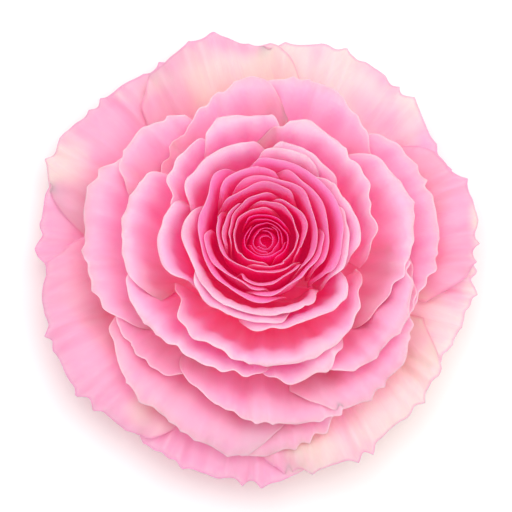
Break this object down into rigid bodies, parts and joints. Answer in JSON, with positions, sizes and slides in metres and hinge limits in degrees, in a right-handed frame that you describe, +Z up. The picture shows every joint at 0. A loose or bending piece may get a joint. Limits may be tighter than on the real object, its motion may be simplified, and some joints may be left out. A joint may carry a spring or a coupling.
{
  "type": "rose bloom",
  "caption": "Open many-petalled garden rose head with ruffled petals in layers round a furled heart, picked under the hip, standing on its neck and sepals.",
  "frame": {"origin": "middle of the flat cut face under the neck, on the surface that the bloom stands on", "axes": "+Z up out of the flower, +X to the right and -Y to the front as the bloom is seen from above"},
  "size_m": [0.1134, 0.1167, 0.0513],
  "materials": {
    "heart_pink": "satin crimson-pink petal, darkest in the folds",
    "inner_pink": "satin pink petal with paler rims",
    "middle_pink": "satin pink petal with pale lilac-pink lips",
    "outer_pink": "soft satin light pink petal",
    "guard_cream": "soft satin cream and peach petal with pink margins",
    "calyx_green": "matt waxy green hip and sepals"
  },
  "bodies": {
    "root": {"heart": "heart_pink", "furled_petal_01": "heart_pink", "furled_petal_02": "heart_pink", "furled_petal_03": "heart_pink", "furled_petal_04": "heart_pink", "furled_petal_05": "heart_pink", "furled_petal_06": "heart_pink", "furled_petal_07": "heart_pink", "furled_petal_08": "heart_pink", "furled_petal_09": "heart_pink", "furled_petal_10": "heart_pink", "furled_petal_11": "heart_pink", "furled_petal_12": "heart_pink", "furled_petal_13": "heart_pink", "furled_petal_14": "heart_pink", "furled_petal_15": "heart_pink", "cupped_petal_01": "inner_pink", "cupped_petal_02": "inner_pink", "cupped_petal_03": "inner_pink", "cupped_petal_04": "inner_pink", "cupped_petal_05": "inner_pink", "cupped_petal_06": "inner_pink", "cupped_petal_07": "inner_pink", "cupped_petal_08": "inner_pink", "cupped_petal_09": "inner_pink", "middle_petal_01": "middle_pink", "middle_petal_02": "middle_pink", "middle_petal_03": "middle_pink", "middle_petal_04": "middle_pink", "middle_petal_05": "middle_pink", "middle_petal_06": "middle_pink", "middle_petal_07": "middle_pink", "middle_petal_08": "middle_pink", "outer_petal_01": "outer_pink", "outer_petal_02": "outer_pink", "outer_petal_03": "outer_pink", "outer_petal_04": "outer_pink", "outer_petal_05": "outer_pink", "outer_petal_06": "outer_pink", "outer_petal_07": "outer_pink", "outer_petal_08": "outer_pink", "outer_petal_09": "outer_pink", "outer_petal_10": "outer_pink", "outer_petal_11": "outer_pink", "guard_petal_01": "guard_cream", "guard_petal_02": "guard_cream", "guard_petal_03": "guard_cream", "guard_petal_04": "guard_cream", "guard_petal_05": "guard_cream", "guard_petal_06": "guard_cream", "guard_petal_07": "guard_cream", "guard_petal_08": "guard_cream", "guard_petal_09": "guard_cream", "guard_petal_10": "guard_cream", "hip_and_sepals": "calyx_green"}
  },
  "joints": []
}
